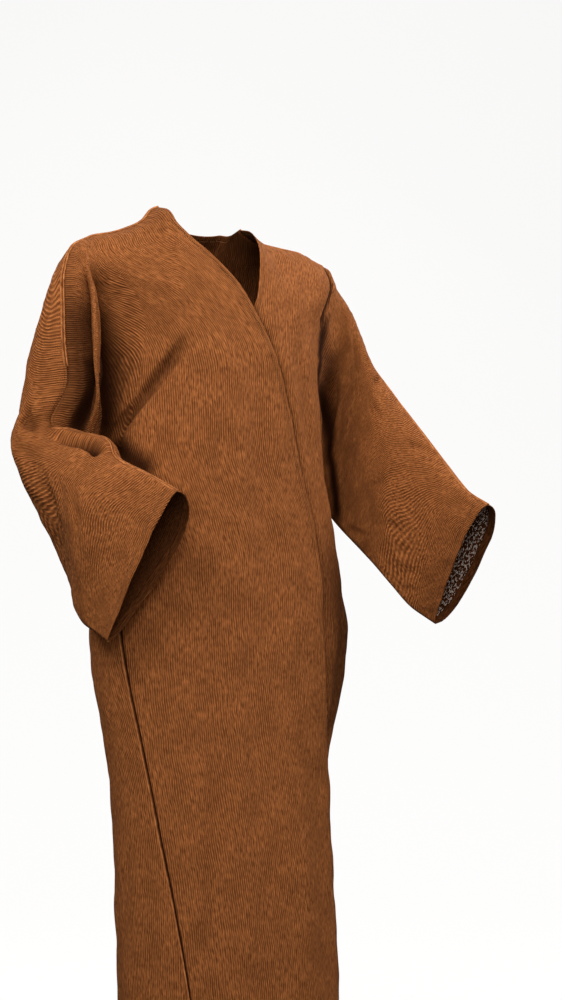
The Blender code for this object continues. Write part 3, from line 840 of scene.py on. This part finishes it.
def stitchGroup():
    # a row of stitches beside a hem: the place holds the distance past the stitches and the way along them
    group, start, end = newGroup("hemStitch", {"Place": None, "Stitch": 0.0026}, ("Thread", "Groove", "Hem"))
    wires = Wires(group)
    split = wires.add("SeparateXYZ", {0: start["Place"]})
    aside = wires.math("ABSOLUTE", split[0])
    dash = wires.math("FRACT", wires.math("DIVIDE", split[1], start["Stitch"]))
    on = wires.times(wires.smooth(dash, *stitches["begin"]), wires.smooth(dash, *stitches["end"]))
    wires.place(end["Thread"], wires.times(on, wires.smooth(aside, *stitches["thread"])))
    wires.place(end["Groove"], wires.smooth(aside, *stitches["groove"]))
    wires.place(end["Hem"], wires.smooth(split[0], *stitches["hem"]))
    return group


def mottleGroup():
    # slow unevenness of the dye, about 1 in the middle
    group, start, end = newGroup("dyeMottle", {"Place": None, "Amount": 0.12}, ("Tone",))
    wires = Wires(group)
    wide = wires.noise(wires.stretch(start["Place"], patches["dye"]), 1.0, 3.0)
    wires.place(end["Tone"], wires.plus(wires.times(wires.less(wide, 0.5), start["Amount"]), 1.0))
    return group


crinkle, hemStitch, dyeMottle = crinkleGroup(), stitchGroup(), mottleGroup()

cloth = {
    # the crepe's troughs are painted darker and its ridges lighter, painted shade that the bump alone doesn't
    # cast
    "ridge": (0.352, 0.120, 0.0345, 1),
    "trough": (0.082, 0.0236, 0.0062, 1),
    # painted shade: the cloth inside the garment is painted darker, as it lies in shade
    "insideRidge": (0.115, 0.036, 0.0100, 1),
    "insideTrough": (0.030, 0.0085, 0.0022, 1),
    # painted highlight: the seams are painted lighter, where light catches their raised lines
    "seamRidge": (0.400, 0.146, 0.0460, 1),
    "seamTrough": (0.170, 0.052, 0.0145, 1),
    "hem": (0.150, 0.046, 0.0125, 1),
    "hemTint": 0.22,
    "thread": (0.300, 0.115, 0.040, 1),
    "shadow": (0.016, 0.0040, 0.0010, 1),
    # painted shade in the stitches' groove, as a share of the shadow colour
    "grooveShade": 0.60,
    # painted daylight: the pale colour of light seen through the sheer cloth
    "daylight": (0.62, 0.50, 0.43, 1),
    "surface": {
        "Roughness": 0.92,
        "Specular IOR Level": 0.03,
        "Sheen Weight": 0.004,
        "Sheen Roughness": 0.45,
        "Sheen Tint": (0.9, 0.62, 0.42, 1),
    },
    # heights, in metres: the groove that the stitches press, the thread in it, and the doubled hem
    "grooveDepth": 0.0010,
    "threadHeight": 0.0005,
    "hemHeight": 0.0004,
    "hemFlatness": 0.20,
}


def clothMaterial(name, trough, ridge, depth=0.0014, broken=0.30, hemmed=True, daylight=0.0):
    material = bpy.data.materials.new(name)
    material.use_nodes = True
    shader = material.node_tree.nodes["Principled BSDF"]
    wires = Wires(material.node_tree)
    cutPlace = wires.uvMap("Cut")
    ribs = wires.add("Group", {"Place": cutPlace, "Depth": depth, "Broken": broken}, node_tree=crinkle)
    mottle = wires.add("Group", {"Place": wires.add("TexCoord", {})["Object"]}, node_tree=dyeMottle)
    # painted shade: the ribs' troughs take the darker colour and their ridges the lighter one
    colour = wires.mix(ribs["Ridge"], cloth[trough], cloth[ridge])
    height = ribs["Height"]
    if hemmed:
        stitch = wires.add("Group", {"Place": wires.uvMap("Edges")}, node_tree=hemStitch)
        hem, groove, thread = stitch["Hem"], stitch["Groove"], stitch["Thread"]
        colour = wires.mix(wires.times(hem, cloth["hemTint"]), colour, cloth["hem"])
        # painted shade darkens the stitches' groove
        colour = wires.mix(wires.times(groove, cloth["grooveShade"]), colour, cloth["shadow"])
        colour = wires.mix(thread, colour, cloth["thread"])
        height = wires.times(height, wires.less(1.0, wires.times(hem, cloth["hemFlatness"])))
        height = wires.less(height, wires.times(groove, cloth["grooveDepth"]))
        height = wires.plus(height, wires.times(thread, cloth["threadHeight"]))
        height = wires.plus(height, wires.times(hem, cloth["hemHeight"]))
    # painted shade darkens the bottoms of deep folds and other shaded places, and painted daylight shows
    # through the single layer inside the left cuff
    shade = wires.add("SeparateXYZ", {0: wires.uvMap("Shade")})
    gaps = wires.smooth(wires.noise(wires.stretch(cutPlace, patches["gaps"]), 1.0, 1.0), *crepe["gaps"])
    colour = wires.mix(wires.times(shade[1], wires.times(gaps, daylight)), colour, cloth["daylight"])
    colour = wires.mix(shade[0], colour, cloth["shadow"])
    colour = wires.add("HueSaturation", {"Value": mottle["Tone"], "Color": colour})[0]
    bump = wires.add("Bump", {"Strength": 1.0, "Distance": 1.0, "Height": height})[0]
    for label, value in {"Base Color": colour, "Normal": bump, **cloth["surface"]}.items():
        wires.place(shader.inputs[label], value)
    return material


panelCloth = clothMaterial("crinkledCloth", "trough", "ridge")
# the inside of the shell is a darker copy of the cloth, painted shade inside the garment
shadedInsideCloth = clothMaterial("clothInsidePaintedShade", "insideTrough", "insideRidge", daylight=0.75)
# the seams' lighter colours are a painted highlight
seamCloth = clothMaterial("seamCloth", "seamTrough", "seamRidge", 0.0005, 0.6, hemmed=False)
# the cuff hems take the same darker colours, painted shade inside the cuffs
hemCloth = clothMaterial("hemCloth", "insideTrough", "insideRidge", 0.0008, 0.5, hemmed=False)
print("materials made")


def clothPiece(name, places, maps, materials, thickness, facing, keep=None):
    # a grid whose points are moved to their places, less the faces that aren't kept
    rows, columns = places.shape[:2]
    sheet = bmesh.new()
    bmesh.ops.create_grid(sheet, x_segments=columns - 1, y_segments=rows - 1, size=0.5)
    if keep:
        middles = [(face, face.calc_center_median()) for face in sheet.faces]
        spare = [face for face, middle in middles
                 if not keep((middle.y + 0.5) * (rows - 1), (middle.x + 0.5) * (columns - 1))]
        bmesh.ops.delete(sheet, geom=spare, context="FACES")
    mesh = bpy.data.meshes.new(name)
    sheet.to_mesh(mesh)
    sheet.free()
    flat = np.empty(len(mesh.vertices) * 3)
    mesh.vertices.foreach_get("co", flat)
    column, row = np.rint((flat.reshape(-1, 3)[:, :2] + 0.5) * (columns - 1, rows - 1)).astype(int).T
    mesh.vertices.foreach_set("co", places[row, column].ravel())
    corner = np.empty(len(mesh.loops), int)
    mesh.loops.foreach_get("vertex_index", corner)
    for label, (u, v) in maps.items():
        layer = mesh.uv_layers.new(name=label)
        layer.data.foreach_set("uv", np.stack([u[row, column][corner], v[row, column][corner]], -1).ravel())
    mesh.update()
    if facing(mesh.polygons) < 0:
        mesh.flip_normals()
    mesh.shade_smooth()
    for material in materials:
        mesh.materials.append(material)
    piece = bpy.data.objects.new(name, mesh)
    scene.collection.objects.link(piece)
    wall = piece.modifiers.new("Cloth", "SOLIDIFY")
    wall.thickness = thickness
    wall.offset = -1.0
    wall.use_even_offset = False
    wall.material_offset = len(materials) - 1
    return piece


def hemMap(fine):
    # how far each place lies past the nearest row of stitches, and how far along it
    half = fine["half"]
    cuff = fine["cuff"] - cut["cuffStitch"]
    bottom = cut["length"] - fine["down"] - cut["bottomStitch"]
    if half.front:
        edge = fine["fromEdge"] - cut["neckStitch"]
    else:
        inNeck = np.arange(fine["along"].shape[1])[None, :] <= half.grid["neck"]
        edge = np.where(inNeck, fine["down"] - cut["neckStitch"], 1.0)
    past = np.fmin(np.fmin(edge, cuff), bottom)
    run = np.where(bottom <= past, fine["fromEdge"], fine["down"])
    if not half.front:
        run = np.where(edge <= past, fine["fromEdge"], run)
    return np.clip(past, -0.05, 0.05), run


def panelPiece(name, field, ribs, edges, way, keep):
    def facing(faces):
        # judged at two of them
        middle = len(faces) // 2
        return sum(faces[k].normal.dot(way(faces[k].center)) for k in (middle, middle // 2))

    maps = {"Cut": (ribs, field["down"]), "Edges": edges, "Shade": (field["shade"], field["sheer"])}
    materials = panelCloth, shadedInsideCloth
    return clothPiece(name, field["places"], maps, materials, cut["clothThickness"], facing, keep)


bodyMiddle = (0.01, -0.01)


def frontPiece(fine):
    half = fine["half"]
    return panelPiece(half.panel, fine, fine["ribs"], hemMap(fine),
                      lambda point: Vector((0.2 * half.side, -1, 0)),
                      lambda row, column: row < half.grid["yoke"] or column < half.grid["body"])


def backPiece(right, left):
    def joined(first, second):
        return np.concatenate([first[:, ::-1], second[:, 1:]], axis=1)

    field = {key: joined(right[key], left[key]) for key in ("places", "down", "shade", "sheer")}
    edges = [joined(first, second) for first, second in zip(hemMap(right), hemMap(left))]
    yokeRows, first = right["half"].grid["yoke"], right["half"].grid["sleeve"]
    last = first + right["half"].grid["body"] + left["half"].grid["body"]
    return panelPiece("back", field, joined(-right["ribs"], left["ribs"]), edges,
                      lambda point: Vector((point.x - bodyMiddle[0], point.y - bodyMiddle[1], 0)),
                      lambda row, column: row < yokeRows or first < column < last)


sides = (("right", fineRightFront, fineRightBack), ("left", fineLeftFront, fineLeftBack))
panelPieces = {"front_" + side: frontPiece(fore) for side, fore, rear in sides}
panelPieces["back"] = backPiece(fineRightBack, fineLeftBack)
print("panels made")

# Felled seams, by how far each point of their section lies to the front or the back and how high, in
# millimetres, and how much painted shade it takes, darkest in the seams' hollows and the side seam's groove.
# The one over the arm has two raised lines. The one down the side stands up beside the front's edge.
seam = {
    "overarm": (
        (-4.6, -0.3, 0.7), (-4, 1.6, 0.0), (-2.8, 2.6, 0.0), (-1.2, 1.2, 0.4), (0, 0.2, 0.9),
        (1.2, 1.2, 0.4), (2.8, 2.6, 0.0), (4, 1.6, 0.0), (4.6, -0.3, 0.7),
    ),
    "underarm": (
        (-3.4, -0.2, 0.4), (-2.6, 0.9, 0.0), (-1.4, 1.1, 0.0), (0, 0.5, 0.5), (1.4, 1.1, 0.0),
        (2.6, 0.9, 0.0), (3.4, -0.2, 0.4),
    ),
    "side": (
        (-2.6, -4.6, 1.0), (-0.9, -4.5, 1.0), (-0.4, -4.2, 1.0), (-0.1, 0.4, 0.6), (0.4, 1.6, 0.0),
        (1.4, 2, 0.0), (2.6, 1.5, 0.0), (3.4, -0.3, 0.3),
    ),
    "thickness": 0.0006,
    "points": 220,
    "crossRibs": 0.6,
}


def seamPiece(name, kind, line, toFront, toBack, away):
    up = unit(np.cross(unit(np.gradient(line, axis=0)), unit(toFront) - unit(toBack)))
    up = up * np.sign(np.sum(up * away, axis=-1, keepdims=True))
    places = np.array([line + (unit(toFront if aside < 0 else toBack) * abs(aside) + up * height) / 1000
                       for aside, height, dark in seam[kind]])
    along = lengthAlong(line)[None, :] + np.zeros(places.shape[:2])
    across, sunk = np.array(seam[kind]).T[[0, 2], :, None] + 0 * along
    # the Shade map carries each point's painted shade
    maps = {"Cut": (across / 1000 * seam["crossRibs"], along), "Shade": (sunk, 0 * along)}
    middle = len(line) // 2
    return clothPiece(name, places, maps, (seamCloth,), seam["thickness"],
                      lambda faces: faces[middle].normal.dot(Vector(up[middle])))


def armSeam(name, kind, fore, rear, starts, edgeRows, nextRows, insideRows):
    # between the edges of both halves, by their rows there, the rows beside them and rows within the sleeve
    (front, back), (frontNext, backNext), (frontIn, backIn) = (
        [resampled(fine["places"][row, start:], seam["points"])
         for fine, row, start in zip((fore, rear), rows, starts)]
        for rows in (edgeRows, nextRows, insideRows)
    )
    line = (front + back) / 2
    return seamPiece(name, kind, line, frontNext - line, backNext - line, line - (frontIn + backIn) / 2)


seamPieces = {}
for side, fore, rear in sides:
    foreGrid, rearGrid = fore["half"].grid, rear["half"].grid
    ends = foreGrid["yoke"], rearGrid["yoke"]
    # from the neck to the cuff over the arm, from the body to the cuff under it, and along the back's edge
    name = "seam_overarm_" + side
    seamPieces[name] = armSeam(name, "overarm", fore, rear, (0, rearGrid["neck"]), (0, 0), (3, 3),
                               [end // 3 for end in ends])
    name = "seam_underarm_" + side
    starts = foreGrid["body"] + 3, rearGrid["body"] + 3
    seamPieces[name] = armSeam(name, "underarm", fore, rear, starts, ends, [end - 2 for end in ends],
                               [int(end * 0.8) for end in ends])
    name = "seam_side_" + side
    frontNext, back, backNext = (
        resampled(fine["places"][fine["half"].grid["yoke"]:, fine["half"].grid["body"] - k], seam["points"])
        for fine, k in ((fore, 6), (rear, 0), (rear, 4))
    )
    away = back * np.array([1, 1, 0]) - np.array([*bodyMiddle, 0])
    seamPieces[name] = seamPiece(name, "side", back, frontNext - back, backNext - back, away)
print("seams made")

# The turned hems inside the cuffs
cuffHem = {"width": 0.0135, "steps": 6, "thickness": 0.0006, "lift": 0.0021, "inset": 0.0002, "points": 110}


def hemPiece(name, fore, rear):
    runs = []
    for fine in (fore, rear):
        rows = fine["half"].grid["yoke"] + 1
        edge, before, out = (resampled(fine[key][:rows, column], cuffHem["points"])
                             for key, column in (("places", -1), ("places", -4), ("outward", -1)))
        runs.append((edge, unit(before - edge), unit(out)))
    edge, inwards, out = (np.concatenate([first[::-1], second[1:]]) for first, second in zip(*runs))
    reach = np.linspace(0, cuffHem["width"], cuffHem["steps"] + 1)[:, None, None]
    places = edge + inwards * (reach + cuffHem["inset"]) - out * cuffHem["lift"]
    down = lengthAlong(edge)[None, :] + np.zeros(places.shape[:2])
    maps = {"Cut": (reach[..., 0] + 0 * down, down), "Shade": (0 * down, 0 * down)}
    middle = len(edge) // 4
    return clothPiece(name, places, maps, (hemCloth,), cuffHem["thickness"],
                      lambda faces: faces[middle].normal.dot(Vector(-out[middle])))


hemPieces = {"hem_cuff_" + side: hemPiece("hem_cuff_" + side, fore, rear) for side, fore, rear in sides}
print("cuff hems made")

# Every piece takes the place of its node
for pieces, slotName in ((panelPieces, None), (seamPieces, "seams"), (hemPieces, "hems")):
    for name, piece in pieces.items():
        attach(piece, "root")
        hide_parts(name)

# The studio: a pale floor that curves up into a wall, and soft lights. The camera looks along its heading.
studio = {
    "heading": 60,
    "floor": -1.48,
    "near": -4.5,
    "wallAhead": 3.4,
    "radius": 1.6,
    "curveSteps": 24,
    "height": 3.2,
    "halfWidth": 5.0,
    "paint": {
        "Base Color": (0.06, 0.06, 0.059, 1),
        "Roughness": 0.9,
        "Specular IOR Level": 0.1,
        "Emission Color": (1.0, 0.995, 0.99, 1),
    },
    "glow": 0.905,
    "airSeen": 0.90,
    "airLight": 0.04,
}
heading = np.radians(studio["heading"])
ahead = Vector((np.cos(heading), np.sin(heading), 0))
aside = Vector((ahead.y, -ahead.x, 0))
bend = studio["wallAhead"] - studio["radius"]
profile = [(studio["near"], studio["floor"])]
for k in range(studio["curveSteps"] + 1):
    turn = np.pi / 2 * k / studio["curveSteps"]
    rise = studio["radius"] * (1 - np.cos(turn))
    profile.append((bend + studio["radius"] * np.sin(turn), studio["floor"] + rise))
profile.append((studio["wallAhead"], studio["height"]))
coveData = bmesh.new()
leftRail, rightRail = (
    [coveData.verts.new(ahead * reach + Vector((0, 0, height)) + aside * across) for reach, height in profile]
    for across in (-studio["halfWidth"], studio["halfWidth"])
)
for corners in zip(rightRail, rightRail[1:], leftRail[1:], leftRail):
    coveData.faces.new(corners)
coveMesh = bpy.data.meshes.new("studioFloor")
coveData.to_mesh(coveMesh)
coveData.free()
coveMesh.shade_smooth()
studioFloor = bpy.data.objects.new("studioFloor", coveMesh)
scene.collection.objects.link(studioFloor)
paint = bpy.data.materials.new("studioPaint")
paint.use_nodes = True
paintWires = Wires(paint.node_tree)
paintShader = paint.node_tree.nodes["Principled BSDF"]
for label, value in studio["paint"].items():
    paintShader.inputs[label].default_value = value
# the stage glows for the eye, as a lit backdrop does, and throws little of that light on the cloth
glow = paintWires.times(paintWires.add("LightPath", {})["Is Camera Ray"], studio["glow"])
paintWires.place(paintShader.inputs["Emission Strength"], glow)
# from behind, the stage is clear
behind = paintWires.add("NewGeometry", {})["Backfacing"]
clear = paintWires.add("BsdfTransparent", {})[0]
shown = paintWires.add("MixShader", {0: behind, 1: paintShader.outputs[0], 2: clear})[0]
paintWires.place(paint.node_tree.nodes["Material Output"].inputs["Surface"], shown)
coveMesh.materials.append(paint)

lights = (
    # name, turn to the garment's left from the camera, height angle, distance, side of the square, watts
    ("keyLight", -30, 36, 3.2, 1.4, 99),
    ("fillLight", 14, 36, 2.5, 1.4, 18),
    ("sideLight", 92, 38, 2.5, 1.4, 88),
    ("lowLight", -5, 3, 2.6, 1.4, 40),
    ("backLightRight", -130, 40, 3.2, 1.8, 70),
    ("backLightLeft", 145, 40, 3.2, 1.8, 60),
)
lightAim = Vector((0.05, 0, -0.35))
for name, turn, rise, distance, width, watts in lights:
    heading = np.radians(studio["heading"] + 180 + turn)
    flat = Vector((np.cos(heading), np.sin(heading), 0))
    place = lightAim + (flat * np.cos(np.radians(rise)) + Vector((0, 0, np.sin(np.radians(rise))))) * distance
    lightData = bpy.data.lights.new(name, "AREA")
    lightData.shape = "SQUARE"
    lightData.size = width
    lightData.energy = watts
    lamp = bpy.data.objects.new(name, lightData)
    scene.collection.objects.link(lamp)
    lamp.location = place
    lamp.rotation_euler = (lightAim - place).to_track_quat("-Z", "Y").to_euler()
    lamp.visible_camera = False
world = bpy.data.worlds.new("studioAir")
world.use_nodes = True
air = world.node_tree.nodes["Background"].inputs
air["Color"].default_value = studio["paint"]["Emission Color"]
airWires = Wires(world.node_tree)
airSeen = airWires.add("LightPath", {})["Is Camera Ray"]
airWires.place(air["Strength"], airWires.math("MULTIPLY_ADD", airSeen, studio["airSeen"], studio["airLight"]))
scene.world = world
print("studio made")
